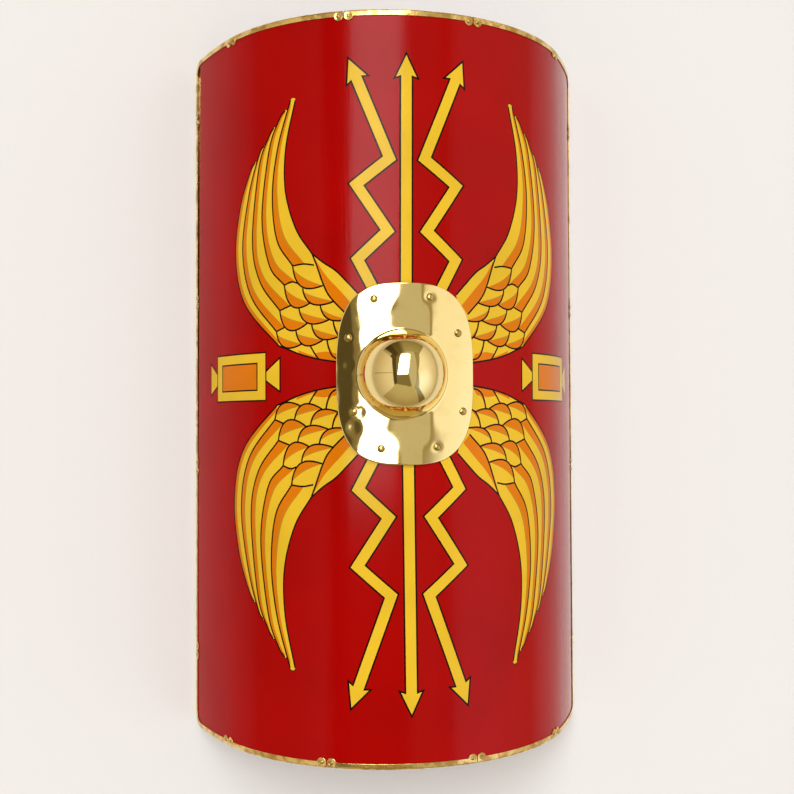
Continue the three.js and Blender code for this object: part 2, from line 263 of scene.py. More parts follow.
class Tent(Recipe):
    """The world's graph, which gives a colour to every direction."""

    def __init__(self, name):
        world = bpy.data.worlds.new(name)
        world.use_nodes = True
        self.tree = world.node_tree
        self.shader = self.tree.nodes["Background"]
        self.way = self.node("ShaderNodeTexCoord")["Object"]
        self.material = world
        bpy.context.scene.world = world

    def towards(self, direction):
        """How much a direction is the given one, from -1 to 1."""
        made = self.node("ShaderNodeVectorMath", {"operation": "DOT_PRODUCT"}, {0: self.way, 1: direction})
        return made["Value"]

    def panel(self, corners, softness):
        """1 inside the cone through the corners and 0 outside it."""
        rays = [aim(*corner) for corner in corners]
        middle = sum(rays, Vector())
        inside = 1.0
        for a, b in zip(rays, rays[1:] + rays[:1]):
            wall = a.cross(b).normalized()
            wall *= math.copysign(1, wall.dot(middle))
            inside = inside * self.towards(wall).above(-softness, softness)
        return inside


def aim(across, up):
    """The direction that many degrees from straight overhead."""
    away = math.radians(math.hypot(across, up))
    side = Vector((across, up, 0)).normalized()
    return side * math.sin(away) + Vector((0, 0, math.cos(away)))


tent = Tent("light_tent")
tone = (*ROOF, 1)
for softness, colour, corners in PANELS:
    tone = tent.blend(tent.panel(corners, softness), tone, (*colour, 1))
tone = tent.blend(tent.panel(SEAM, SEAM_SOFTNESS) * SEAM_STRENGTH, tone, (0.1, 0.07, 0.03, 1))
glow = tent.towards(aim(*GLOW)).above(math.cos(math.radians(GLOW_SPREAD)), 1)
tone = tent.blend(glow, tone, (0.14, 0.26, 0.5, 1), "ADD")
low = 1 - tent.towards((0, 0, 1)).above(-0.1, 0.75)
tone = tent.blend(low, tone, (0.66, 0.59, 0.48, 1), "MULTIPLY")
tent.finish(Color=tone)
bpy.context.scene.view_settings.view_transform = "Standard"
print(len(PANELS), "panels in the tent")

# %% [markdown]
# The floor is a pale sheet with a painted pool of light: its colour is paler within 0.8 m of the middle and
# darker towards 2.8 m, standing in for light that falls off away from the shield. It also lights the shield
# from below and gives the steep flanks of the face the pale sheen that enamel takes on at a low angle.

# %% The floor
FLOOR_HALF = 30.0
LIGHT_POOL_TO = 0.8
PAINTED_DIM_FROM = 2.8


def pale_paper():
    m = Recipe("pale_paper")
    away = m.node("ShaderNodeVectorMath", {"operation": "LENGTH"}, {0: m.place()})["Value"]
    # Painted pool of light: the floor's colour darkens with distance from the middle, in place of light
    # falling off.
    tone = m.blend(away.above(LIGHT_POOL_TO, PAINTED_DIM_FROM), rgb(224, 222, 223), rgb(172, 165, 152))
    return m.finish(Base_Color=tone, Roughness=0.75, Normal=m.bump(m.noise(90.0), 0.0003))


floor_mesh = bpy.data.meshes.new("floor")
floor_corners = [(x * FLOOR_HALF, y * FLOOR_HALF, 0) for x, y in ((-1, -1), (1, -1), (1, 1), (-1, 1))]
floor_mesh.from_pydata(floor_corners, [], [(0, 1, 2, 3)])
floor_mesh.materials.append(pale_paper())
shown("floor", floor_mesh)

# %% [markdown]
# The emblem is brushed on flat, in flat colours, so it has no height and is not a separate piece.
# It is drawn here as layers of flat shapes on the unrolled face, each later one over the last, as
# a sign painter lays grounds first and ink lines last. Points are few: smooth lines are passed
# through them by a spline, and bands and lines get their two edges from a centre line.

# %% Drawing tools
layers = []


def lay(paint, outline):
    """Puts one flat shape of a paint over all that is already drawn."""
    outline = [q for q, before in zip(outline, [outline[-1], *outline]) if math.dist(q, before) > 1e-6]
    twice_area = sum(a[0] * b[1] - b[0] * a[1] for a, b in zip(outline, outline[1:] + outline[:1]))
    layers.append((paint, outline if twice_area > 0 else outline[::-1]))


def smooth(points, steps=8):
    """A rounded line through a few points (a Catmull-Rom spline)."""
    p = [np.array(q, float) for q in points]
    p = [2 * p[0] - p[1], *p, 2 * p[-1] - p[-2]]
    line = []
    for a, b, c, d in zip(p, p[1:], p[2:], p[3:]):
        for t in np.arange(steps) / steps:
            line.append(0.5 * (2 * b + (c - a) * t + (2 * a - 5 * b + 4 * c - d) * t**2
                               + (3 * b - a - 3 * c + d) * t**3))
    return [tuple(q) for q in (*line, p[-2])]


def bow(start, pull_a, pull_b, end, steps=10):
    """A cubic curve from start to end, drawn towards two points on the way."""
    a, b, c, d = (np.array(q, float) for q in (start, pull_a, pull_b, end))
    return [tuple((1 - t)**3 * a + 3 * t * (1 - t)**2 * b + 3 * t * t * (1 - t) * c + t**3 * d)
            for t in np.linspace(0, 1, steps + 1)]


def side_of(line, reach):
    """The line moved sideways by reach, a number or one for each point, its corners kept sharp."""
    p = np.array(line, float)
    step = p[1:] - p[:-1]
    step /= np.linalg.norm(step, axis=1)[:, None]
    across = np.stack([-step[:, 1], step[:, 0]], axis=1)
    before = np.vstack([across[:1], across])
    after = np.vstack([across, across[-1:]])
    middle = before + after
    middle *= 2 / (middle**2).sum(axis=1)[:, None]
    return [tuple(q) for q in p + middle * np.broadcast_to(reach, len(p))[:, None]]


def brush(paint, line, width, thin_start=1.0, thin_end=1.0):
    """A painted line of a width, which may thin at its ends."""
    along = np.linspace(0, 1, len(line))
    taper = np.interp(along, [0, 0.25, 0.75, 1], [thin_start, 1, 1, thin_end])
    lay(paint, side_of(line, width / 2 * taper) + side_of(line, -width / 2 * taper)[::-1])


def grown(outline, reach):
    """A closed shape with its edge moved outwards by reach."""
    area = sum(a[0] * b[1] - b[0] * a[1] for a, b in zip(outline, outline[1:] + outline[:1]))
    ring = outline if area > 0 else outline[::-1]
    moved = side_of([ring[-1], *ring, ring[0]], -reach)
    return moved[1:-1]


def inked(paint, outline, border):
    """A shape with an ink border painted round it."""
    lay("ink", grown(outline, border))
    lay(paint, outline)


# %% [markdown]
# Three bolts of lightning run up from the boss and three run down: a straight arrow between two
# that zigzag. A bolt is a band along a few corners, ending in a barbed head. The lower half is the
# upper half turned over, and drawn a little longer towards its tips, as the shield's boss sits
# above the middle.

# %% The lightning
MIDDLE_V = 18
BOLT_HALF_WIDTH = 7.3
INK = 2.4
ZIGZAG = [(-45, 128), (-71, 177), (-29, 216), (-72.5, 281), (-26, 317), (-72, 430)]
HEAD_LENGTH = 28
HEAD_HALF_WIDTH = 14.5
HEAD_NOTCH = 2.5
STRETCH_FROM = 245
BOLT_STRETCH = 0.12


def stretched(v, start, rate):
    """The lower half's height for a height in the upper half."""
    away = v - MIDDLE_V
    return MIDDLE_V - (away + rate * max(away - start, 0))


def bolt(line):
    """A band along line with a barbed arrowhead at its end."""
    p = [np.array(q, float) for q in line]
    along = (p[-1] - p[-2]) / np.linalg.norm(p[-1] - p[-2])
    across = np.array((-along[1], along[0]))
    left = side_of(line, BOLT_HALF_WIDTH)
    right = side_of(line, -BOLT_HALF_WIDTH)
    barbs = [p[-1] + s * HEAD_HALF_WIDTH * across - HEAD_NOTCH * along for s in (1, -1)]
    tip = p[-1] + HEAD_LENGTH * along
    inked("gold", [*left, tuple(barbs[0]), tuple(tip), tuple(barbs[1]), *right[::-1]], INK)


for side, shift in ((1, 0), (-1, -3)):
    upper = [(side * u + shift, v) for u, v in ZIGZAG]
    bolt(upper)
    lower = [(side * u - shift / 3, stretched(v, STRETCH_FROM, BOLT_STRETCH)) for u, v in ZIGZAG]
    bolt(lower)
bolt([(-3.6, 128), (-2, 433)])
bolt([(-1.6, -95), (1.4, -422)])
print(len(layers), "shapes in the lightning")

# %% [markdown]
# Each quarter of the face has a wing that sweeps out of the boss. Five long flight feathers share
# their edges, so the wing is six quill lines and what lies between: orange on the outer half of
# each feather, gold on the inner half. Nearer the boss, small feathers overlap like roof tiles,
# and each is one curved stroke with an orange crescent inside it.

# %% The wings
QUILLS = [
    [(-163, 406), (-179, 340), (-180, 280), (-163, 225), (-137, 187)],
    [(-171, 407), (-193.5, 340), (-203, 275), (-195, 211), (-168, 172)],
    [(-180, 394), (-191, 381), (-209, 340), (-223, 245), (-209, 176), (-182, 145.5)],
    [(-200, 372), (-210, 359), (-229, 318), (-243, 215), (-228, 155), (-190, 110)],
    [(-219, 349), (-229, 336), (-250, 283), (-265.5, 205), (-248, 137), (-196, 80.5)],
    [(-237, 327), (-248, 314), (-272, 264), (-283.5, 195), (-262, 126), (-192, 60)],
]
FEATHER_ENDS = [
    [(-168, 172), (-150, 173.5), (-134, 171)],
    [(-182, 145.5), (-170, 149.5), (-160, 147)],
    [(-190, 110), (-172, 116)],
    [(-196, 80.5), (-181, 86)],
]
SMALL_FEATHERS = [
    [(-168, 172), 37, 47, 30], [(-182, 145.5), 38, 42, 27], [(-190, 110), 35, 45, 20],
    [(-196, 80.5), 28, 43, 19], [(-152, 139.5), 28, 48, 20], [(-158, 112), 27, 46, 18],
    [(-163, 81), 27, 42, 15], [(-125, 114.5), 24, 40, 21], [(-138, 88), 25, 42, 17],
    [(-106, 92), 24, 20, 26], [(-115, 66), 26, 20, 28],
]
FEATHER_SPLITS = [(-148, 173), (-163, 149), (-173, 116), (-182, 86), (-193, 68)]
CREASE_SHARES = (0.4, 0.28)
TIP_LENGTH = 0.6
SHOULDER = [(-137, 187), (-120, 174), (-102, 162), (-85, 145), (-70, 129)]
SHOULDER_FOOT = [(-137, 187), (-130, 170), (-120, 143), (-110, 125), (-88, 102)]
SHOULDER_SPLIT = [(-136, 186), (-118, 158), (-96, 134), (-78, 114)]
LOWER_EDGE = [(-192, 60), (-175, 54), (-155, 46.5), (-128, 39.5), (-92, 34)]
LOWER_QUILL = [(-140, 58), (-134, 48), (-128, 40)]
UNDER_PLATE = [(-84, 60), (-74, 100)]
WING_STRETCH_FROM = 150
WING_STRETCH = 0.088


def nearest(line, q):
    return min(line, key=lambda a: math.dist(a, q))


def feather_tip(inner, outer):
    """The round end of a long feather, from its outer edge over to its inner one."""
    start, ahead = np.array(outer[0]), np.array(outer[0]) - outer[1]
    end = nearest(inner, outer[0])
    ahead *= TIP_LENGTH * math.dist(start, end) / np.linalg.norm(ahead)
    return [*bow(start, start + ahead, end + ahead, end, 8)[:-1], end]


def feather_crease(inner, outer, split, share):
    """Where a long feather's shaded side ends, a share of its width in from the outer edge."""
    places = []
    for q in outer[:-8:8]:
        a, b = np.array(q), np.array(nearest(inner, q))
        places.append(a + share * (b - a))
    return smooth([*places, split])


def scallop(top, depth, reach, drop):
    """The lower edge of a small feather."""
    u, v = top
    return bow(top, (u + 4, v - depth), (u + reach / 2 + 2, v - depth), (u + reach, v - drop))


def scallop_crease(top, depth, reach, drop, fall):
    """Where a small feather's shade begins, from its far end back to its near side."""
    u, v = top
    bent = (fall - 5) * 1.2 * (1 - 0.77 * drop / depth)
    return bow((u + reach, v - drop), (u + reach * 0.62, v - drop * 0.8 - bent),
               (u + reach * 0.3, v - drop * 0.6 - bent), (u + 0.3 * fall, v - fall))


def wing(turn):
    """Paints one wing, with turn taking each of its points to its quarter of the face."""
    def put(paint, outline):
        lay(paint, [turn(*q) for q in outline])

    def stroke(line, width=INK, **thin):
        brush("ink", [turn(*q) for q in line], width, **thin)

    quills = [smooth(quill) for quill in QUILLS]
    lower_edge = smooth(LOWER_EDGE)
    shoulder = smooth(SHOULDER)
    put("gold", [*quills[0][-1:], *shoulder, *UNDER_PLATE[::-1], *lower_edge[::-1], *quills[4][-1:],
                 *quills[3][-1:], *quills[2][-1:], *quills[1][-1:]])
    tips = []
    for inner, outer, split in list(zip(quills, quills[1:], FEATHER_SPLITS))[::-1]:
        tips.append(feather_tip(inner, outer))
        start = inner.index(tips[-1][-1])
        put("ink", grown(tips[-1], INK / 2))
        put("gold", [*outer, *inner[:start:-1], *tips[-1][::-1]])
        for paint, share in zip(("ochre", "orange"), CREASE_SHARES):
            put(paint, [*outer, *feather_crease(inner, outer, split, share)[:0:-1]])
    for feather in SMALL_FEATHERS:
        edge = scallop(*feather)
        for paint, fall in (("ochre", 5), ("orange", 10)):
            put(paint, [*edge[2:], *scallop_crease(*feather, fall)[1:]])
    put("gold", [*shoulder, *smooth(SHOULDER_FOOT)[::-1]])
    put("orange", [*smooth(SHOULDER_SPLIT), *smooth(SHOULDER_FOOT)[:0:-1]])
    put("orange", [(-160, 53), (-145, 47.5), (-128, 42), *lower_edge[24:14:-1]])
    put("orange", [(-134, 48), (-118, 50), (-100, 47), *lower_edge[:22:-1]])
    for line in (*quills, *map(smooth, FEATHER_ENDS), *(scallop(*f) for f in SMALL_FEATHERS),
                 shoulder, smooth(SHOULDER_FOOT), lower_edge, LOWER_QUILL):
        stroke(line)


def upper_left(u, v):
    return (u, v)


def upper_right(u, v):
    return (-0.98 * u, v)


def lower_left(u, v):
    return (1.015 * u, stretched(v, WING_STRETCH_FROM, WING_STRETCH))


def lower_right(u, v):
    return (-u, stretched(v, WING_STRETCH_FROM, WING_STRETCH))


for turn in (upper_left, upper_right, lower_left, lower_right):
    wing(turn)
print(len(layers), "shapes with the wings")

# %% [markdown]
# A small framed panel stands at each side of the boss, between two wedges.

# %% The side panels
PANEL = {"near": -217, "far": -341, "low": -16, "high": 50.5}
PANEL_BORDER = 15.5
WEDGES = [
    [(-191, 41), (-217, 22), (-217, 13), (-191, -3)],
    [(-366, 38.5), (-341, 22), (-341, 8), (-366, -5.5)],
]


def side_panel(scale):
    def at(points):
        return [(scale * u, v) for u, v in points]

    def box(inset):
        near, far = PANEL["near"] - inset, PANEL["far"] + inset
        low, high = PANEL["low"] + inset * 0.85, PANEL["high"] - inset * 0.85
        return at([(near, low), (near, high), (far, high - 0.5), (far, low - 0.5)])

    for wedge in WEDGES:
        inked("gold", at(wedge), INK)
    inked("gold", box(0), 2.2)
    inked("orange", box(PANEL_BORDER + 2.2), 2.2)


side_panel(1)
side_panel(-0.975)
print(len(layers), "shapes in the emblem")

# %% [markdown]
# The board is meant as one closed mesh: a painted front skin, a back skin, and the cut edge between
# them. The back skin is still missing: keep() gives back the disc in the hand hole in its stead, and
# the count of edges without two faces, printed below, is 0 only once that is mended.
# The front has to follow both the bend and every painted outline, so the flat shapes and a ladder
# of bending lines go together into one triangulation of the unrolled face, and each triangle
# takes the paint of the topmost shape that holds it. The paint is then exactly on the surface,
# with sharp edges and no image. Smooth shading comes from the face's true direction at each
# corner, so the enamel reflects as one clean curve.

# %% The board's mesh
BENDING_STEP = 8
HAND_HOLE = (-8, 18, 57)
PAINTS = {
    "red": rgb(163, 3, 2),
    "gold": rgb(228, 186, 46),
    "orange": rgb(216, 118, 8),
    "ochre": rgb(200, 128, 26),
    "ink": rgb(22, 4, 3),
}


def board_outline():
    """The board's outline, with a point at each bending line and round corners."""
    straight_u = BOARD_HALF_ARC - CORNER_RADIUS
    straight_v = board_half_height - CORNER_RADIUS
    count = round(2 * straight_u / BENDING_STEP)
    top = [(float(u), board_half_height) for u in np.linspace(-straight_u, straight_u, count + 1)]
    turn = np.linspace(90, 0, 9)[1:]
    corner = [(straight_u + CORNER_RADIUS * math.cos(math.radians(a)),
               straight_v + CORNER_RADIUS * math.sin(math.radians(a))) for a in turn]
    half = [*top, *corner]
    return [*half, *[(-u, -v) for u, v in half]]


def circle(u, v, radius, count=72):
    return [(u + radius * math.cos(2 * math.pi * i / count), v + radius * math.sin(2 * math.pi * i / count))
            for i in range(count)]


def partition(shapes, rungs):
    """Triangles of the plane cut by all shapes and rungs, each with the numbers of its shapes."""
    points, edges, faces = [], [], []
    for shape in shapes:
        faces.append(list(range(len(points), len(points) + len(shape))))
        points += [Vector(q) for q in shape]
    for a, b in rungs:
        edges.append((len(points), len(points) + 1))
        points += [Vector(a), Vector(b)]
    out = delaunay_2d_cdt(points, edges, faces, 1, 1e-5)
    return out[0], out[2], out[5]


outline = board_outline()
hole = circle(*HAND_HOLE)
columns = sorted({round(q[0], 6) for q in outline})


def half_height(u):
    past = max(abs(u) - (BOARD_HALF_ARC - CORNER_RADIUS), 0)
    return board_half_height - CORNER_RADIUS + math.sqrt(max(CORNER_RADIUS**2 - past**2, 0))


rungs = [((u, -half_height(u)), (u, half_height(u))) for u in columns[1:-1]]
front = partition([outline[::-1], hole, *[shape for _, shape in layers]], rungs)


def keep(cut):
    """The triangles of shape 0 outside shape 1, with the topmost shape on each."""
    points, faces, owners = cut
    kept = [(f, max(own)) for f, own in zip(faces, owners) if 0 in own and 1 not in own]
    return points, kept


front_points, front_faces = keep(front)
print(len(front_faces), "triangles in the painted skin")


def open_edges(faces):
    """The directed edges that only one face has."""
    seen = {(a, b) for f in faces for a, b in zip(f, f[1:] + f[:1])}
    return [(a, b) for a, b in seen if (b, a) not in seen]


skin = [list(f) for f, _ in front_faces]
border = open_edges(skin)
follow = {a: b for a, b in border}
loops = []
while follow:
    start = next(iter(follow))
    loop = [start]
    while loop[-1] in follow:
        loop.append(follow.pop(loop[-1]))
    loops.append(loop[:-1])
loops.sort(key=len, reverse=True)
print([len(loop) for loop in loops], "points on the board's open edges")
back = partition([[tuple(front_points[i]) for i in loop] for loop in loops], rungs)
back_points, back_faces = keep(back)


def place_key(q):
    return round(q[0], 3), round(q[1], 3)


def board_piece():
    shift = len(front_points)
    back_at = {place_key(q): i + shift for i, q in enumerate(back_points)}
    places = [(q[0], q[1], 0) for q in front_points]
    places += [(q[0], q[1], -BOARD_THICKNESS) for q in back_points]
    faces = list(skin)
    faces += [[i + shift for i in f[::-1]] for f, _ in back_faces]
    walls = []
    for a, b in border:
        low_a, low_b = (back_at[place_key(front_points[i])] for i in (a, b))
        walls.append([b, a, low_a, low_b])
    faces += walls
    used = sorted({i for f in faces for i in f})
    renumber = {old: new for new, old in enumerate(used)}
    mesh = bpy.data.meshes.new("painted_board")
    mesh.from_pydata([bend(*places[i]) for i in used], [], [[renumber[i] for i in f] for f in faces])
    normals = []
    colours = []
    for number, face in enumerate(faces):
        painted = number < len(skin)
        wall = number >= len(faces) - len(walls)
        mesh.polygons[number].material_index = 0 if painted else 2 if wall else 1
        paint = PAINTS["red"]
        if painted and front_faces[number][1] > 1:
            paint = PAINTS[layers[front_faces[number][1] - 2][0]]
        for i in face:
            out = out_of_face(places[i][0])
            flat = mesh.polygons[number].normal
            normals.append(flat if wall else out if painted else -out)
            colours += paint
    mesh.polygons.foreach_set("use_smooth", [True] * len(faces))
    mesh.attributes.new("paint", "FLOAT_COLOR", "CORNER").data.foreach_set("color", colours)
    mesh.normals_split_custom_set(normals)
    return mesh


board_mesh = board_piece()
sides = [0] * len(board_mesh.edges)
for loop in board_mesh.loops:
    sides[loop.edge_index] += 1
print("edges without two faces:", sum(s != 2 for s in sides))

# %% [markdown]
# The enamel is one material for every colour, since the whole face was varnished together: the
# paint's colour comes from the mesh. A hard gloss lies over plywood whose vertical grain shows
# through as fine streaks, so the relief is noise stretched far along the height. The gloss is a
# coat of varnish, which has worn to half its shine on the left flank.

# %% The enamel, the ply behind it and its cut edge
WORN_SHINE = 0.5
WORN_EDGE = (-0.17, -0.07)


def enamel():
    m = Recipe("red_enamel")
    paint = m.node("ShaderNodeAttribute", {"attribute_name": "paint"})["Color"]
    mottle = m.noise(7.0, detail=4.0).above(0.3, 0.75)
    tone = m.blend(mottle * 0.14, paint, (0.0, 0.0, 0.0, 1.0))
    grain = m.noise(700.0, detail=2.0, stretch=(1, 0.02, 1))
    ripple = m.noise(70.0, detail=2.0, stretch=(1, 0.06, 1))
    relief = m.bump(grain * 0.3 + ripple * 0.7, 0.0005, 0.5)
    across = m.node("ShaderNodeSeparateXYZ", {}, {"Vector": m.place()})["X"]
    varnish = WORN_SHINE + (1 - WORN_SHINE) * across.above(*WORN_EDGE)
    return m.finish(Base_Color=tone, Roughness=0.5, IOR=1.0, Normal=relief, Coat_Weight=varnish,
                    Coat_Roughness=0.13, Coat_IOR=1.215, Coat_Normal=relief)


def varnished_ply():
    m = Recipe("varnished_ply")
    figure = m.noise(26.0, detail=5.0, stretch=(1, 0.06, 1), roughness=0.6)
    pores = m.noise(420.0, detail=2.0, stretch=(1, 0.02, 1))
    tone = m.blend(figure.above(0.3, 0.7), rgb(214, 172, 118), rgb(168, 117, 68))
    tone = m.blend(pores.above(0.58, 0.72) * 0.5, tone, rgb(110, 70, 38))
    return m.finish(Base_Color=tone, Roughness=0.42, Normal=m.bump(pores, 0.0002, 0.3))


def ply_edge():
    m = Recipe("ply_edge")
    fibre = m.noise(160.0, detail=3.0)
    tone = m.blend(fibre.above(0.35, 0.65), rgb(190, 148, 98), rgb(128, 88, 52))
    return m.finish(Base_Color=tone, Roughness=0.7, Normal=m.bump(fibre, 0.0003, 0.4))


def piece(name, mesh, slot, *nodes):
    """Shows a finished mesh in place of the frame's own solids."""
    made = shown(name, mesh)
    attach(made, "root")
    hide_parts(*nodes)
    print(name, "has", len(mesh.polygons), "faces")


for material in (enamel(), varnished_ply(), ply_edge()):
    board_mesh.materials.append(material)
piece("shield_board", board_mesh, "painted_board", "board")

# %% [markdown]
# The boss is spun from one brass sheet: a deep dome over the hand, and a plate round it that is
# bent to the board. A lathe gives rings, and each ring is carried out to the plate's rounded
# outline and bent with the board. The plate is pressed in a little round each rivet, and hand
# polishing leaves it gently wavy, which is what makes the reflections wander.

# %% The boss
DOME = (-8, 18)
PLATE = {"u": -4, "v": 18, "half_width": 97, "half_height": 125.5, "squareness": 3}
SHEET = 1.5
PLATE_GAP = 0.6
DOME_RADIUS = 61
DOME_RISE = 59.9
DOME_FOOT = 64
BOSS_SECTORS = 240
RIVET_PLACES = [(-48, 121), (29, 124), (70, 75), (77, -34), (38, -83), (-39, -85), (-76, -34), (-84, 68)]
RIVET_SEAT = 8.5
RIVET_SINK = 0.08


def plate_reach(angle):
    power = PLATE["squareness"]
    across = abs(math.cos(angle) / PLATE["half_width"]) ** power
    up = abs(math.sin(angle) / PLATE["half_height"]) ** power
    return (across + up) ** (-1 / power)


SHEET_LEAN = {
    "clear of the dome": [(-104, -23), (-73, -17), (-22, -3.5), (10, 2.5), (19, 12.5), (65, 13.5), (104, 20)],
    "beside the dome": [(-104, -23), (-60, -15), (-42, -4), (24, 4), (31, 12.5), (65, 13.5), (104, 20)],
}
DENTS = [(-66, -34, 0.45, 13), (-77, -56, 0.5, 15), (-84, 30, 0.3, 12)]
WAVE = 28
WAVE_HEIGHT = 0.11
CLEAR_OF_DOME = (78, 108)


def sheet_profile(leans):
    """How far the sheet stands off the board across the plate, from how far it leans."""
    across = np.arange(-104, 105)
    lean = np.interp(across, *zip(*leans)) - [math.degrees(tilt(u)) for u in across]
    lean -= lean.mean()
    off = np.convolve(-np.cumsum(np.radians(lean)), np.ones(7) / 7, "same")
    return across, off - off[4:-4].min()


SHEET_PROFILES = [sheet_profile(leans) for leans in SHEET_LEAN.values()]


def sheet_lift(u, v):
    """How far the sheet stands off the board, with its waves and dents."""
    clear, beside = (float(np.interp(u, *profile)) for profile in SHEET_PROFILES)
    near = fade(abs(v - DOME[1]), *CLEAR_OF_DOME)
    lift = clear + (beside - clear) * near
    rough = 1.9 - 1.2 * (1 - fade(u, -70, 10))
    lift += rough * WAVE_HEIGHT * noise.noise(Vector((u / WAVE, v / WAVE, 3.7)))
    for du, dv, deep, wide in DENTS:
        lift -= deep * fade(math.hypot(u - du, v - dv), 0, wide)
    return lift


def fade(value, near, far):
    """1 up to near, 0 past far, and smooth between."""
    t = min(max((value - near) / (far - near), 0), 1)
    return 1 - t * t * (3 - 2 * t)


def boss_profile(dome, foot, level):
    """Rings of one skin, from the dome's top to the plate's edge: reach, share out to the edge, rise."""
    rings = [(dome * math.sin(a), 0, DOME_RISE * math.cos(a)) for a in np.linspace(0.03, 1.52, 44)]
    rings += [(foot - (foot - dome) * math.cos(b), 0, 3 - 3 * math.sin(b)) for b in np.linspace(0.1, 1.57, 9)]
    rings += [(foot, s, 0) for s in np.linspace(0, 1, 30)[1:-1] ** 0.9]
    return [(reach, share, rise, level) for reach, share, rise in rings]


def boss_point(ring, angle):
    reach, share, rise, level = ring
    edge = plate_reach(angle)
    u = (1 - share) * (DOME[0] + reach * math.cos(angle)) + share * (PLATE["u"] + edge * math.cos(angle))
    v = (1 - share) * (DOME[1] + reach * math.sin(angle)) + share * (PLATE["v"] + edge * math.sin(angle))
    for ru, rv in RIVET_PLACES:
        level -= RIVET_SINK * fade(math.hypot(u - ru, v - rv), 5.5, RIVET_SEAT)
    level += sheet_lift(u, v) * (1 - rise / DOME_RISE)
    return bend(u, v, level) + Vector((0, 0, rise * MM))


def lofted(name, points, rows, count, caps):
    """A smooth mesh over rows of count points each, closed by caps."""
    faces = []
    for start in range(0, (rows - 1) * count, count):
        for i in range(count):
            a, b = start + i, start + (i + 1) % count
            faces.append((a, a + count, b + count, b))
    mesh = bpy.data.meshes.new(name)
    mesh.from_pydata(points, [], faces + caps)
    mesh.polygons.foreach_set("use_smooth", [True] * len(mesh.polygons))
    return mesh


def boss_mesh():
    top = PLATE_GAP + SHEET
    outside = boss_profile(DOME_RADIUS, DOME_FOOT, top)
    outside += [(DOME_FOOT, 0.985, 0, top), (DOME_FOOT, 0.996, 0, top - 0.15), (DOME_FOOT, 1, 0, top - 0.5)]
    inside = boss_profile(DOME_RADIUS - SHEET, DOME_FOOT - 1, PLATE_GAP)
    inside += [(DOME_FOOT, 1, 0, PLATE_GAP)]
    rings = outside + inside[::-1]
    count = BOSS_SECTORS
    points = [boss_point(ring, 2 * math.pi * i / count) for ring in rings for i in range(count)]
    points += [bend(*DOME, top) + Vector((0, 0, DOME_RISE * MM)),
               bend(*DOME, PLATE_GAP) + Vector((0, 0, DOME_RISE * MM))]
    last = (len(rings) - 1) * count
    caps = [(len(points) - 2, i, (i + 1) % count) for i in range(count)]
    caps += [(len(points) - 1, last + (i + 1) % count, last + i) for i in range(count)]
    return lofted("boss", points, len(rings), count, caps)


def polished_brass():
    m = Recipe("polished_brass")
    wander = m.noise(9.0, detail=1.0)
    haze = m.noise(55.0, detail=4.0).above(0.45, 0.8)
    tone = m.blend(haze * 0.5, (0.92, 0.74, 0.34, 1), (0.86, 0.66, 0.27, 1))
    return m.finish(Base_Color=tone, Metallic=1.0, Roughness=0.05 + 0.05 * haze,
                    Normal=m.bump(wander, 0.004, 0.25))


brass_boss = boss_mesh()
brass_boss.materials.append(polished_brass())
piece("brass_boss", brass_boss, "polished_brass", "boss")

# %% [markdown]
# Pins of two sizes hold the metal: eight rivets through the boss, and a small nail at each end of
# every rim section. All of them are one pattern, a low domed head in front and a small clenched
# tail behind, stood on points that know which way the face looks there. Geometry Nodes suit this:
# the points are data, the pin's sizes are inputs, and the instances are made real at the end.

# %% A graph for patterns of geometry
class Pattern:
    """A Geometry Nodes graph with named sizes, run once over a mesh of points or lines."""

    def __init__(self, name, sizes):
        self.tree = bpy.data.node_groups.new(name, "GeometryNodeTree")
        self.tree.interface.new_socket("Geometry", in_out="INPUT", socket_type="NodeSocketGeometry")
        self.tree.interface.new_socket("Geometry", in_out="OUTPUT", socket_type="NodeSocketGeometry")
        self.sizes = {}
        for size, value in sizes.items():
            kind = "NodeSocketInt" if isinstance(value, int) else "NodeSocketFloat"
            kind = "NodeSocketObject" if isinstance(value, bpy.types.Object) else kind
            socket = self.tree.interface.new_socket(size, in_out="INPUT", socket_type=kind)
            self.sizes[socket.identifier] = value
        self.given = self.node("NodeGroupInput")

    node = Recipe.node
    fill = Recipe.fill

    def named(self, name, kind="FLOAT"):
        return self.node("GeometryNodeInputNamedAttribute", {"data_type": kind}, {"Name": name})["Attribute"]

    def vector(self, operation, first, second):
        sockets = {0: first, "Scale" if operation == "SCALE" else 1: second}
        return self.node("ShaderNodeVectorMath", {"operation": operation}, sockets)["Vector"]

    def run(self, geometry, material, source):
        """Ends the graph, runs it over the source mesh, and returns a plain mesh."""
        real = self.node("GeometryNodeRealizeInstances", {}, {"Geometry": geometry})["Geometry"]
        sockets = {"Geometry": real, "Material": material}
        dressed = self.node("GeometryNodeSetMaterial", {}, sockets)["Geometry"]
        self.node("NodeGroupOutput", {}, {"Geometry": dressed})
        carrier = shown(self.tree.name, source)
        modifier = carrier.modifiers.new("pattern", "NODES")
        modifier.node_group = self.tree
        for identifier, value in self.sizes.items():
            modifier[identifier] = value
        result = carrier.evaluated_get(bpy.context.evaluated_depsgraph_get())
        mesh = bpy.data.meshes.new_from_object(result)
        carrier.modifiers.clear()
        bpy.data.objects.remove(carrier)
        return mesh


def point_data(name, points, edges=(), **data):
    """A mesh of bare points or lines with values on its points."""
    mesh = bpy.data.meshes.new(name)
    mesh.from_pydata(points, list(edges), [])
    for attribute, values in data.items():
        if isinstance(values[0], (float, int)):
            mesh.attributes.new(attribute, "FLOAT", "POINT").data.foreach_set("value", values)
        else:
            flat = [c for value in values for c in value]
            mesh.attributes.new(attribute, "FLOAT_VECTOR", "POINT").data.foreach_set("vector", flat)
    return mesh


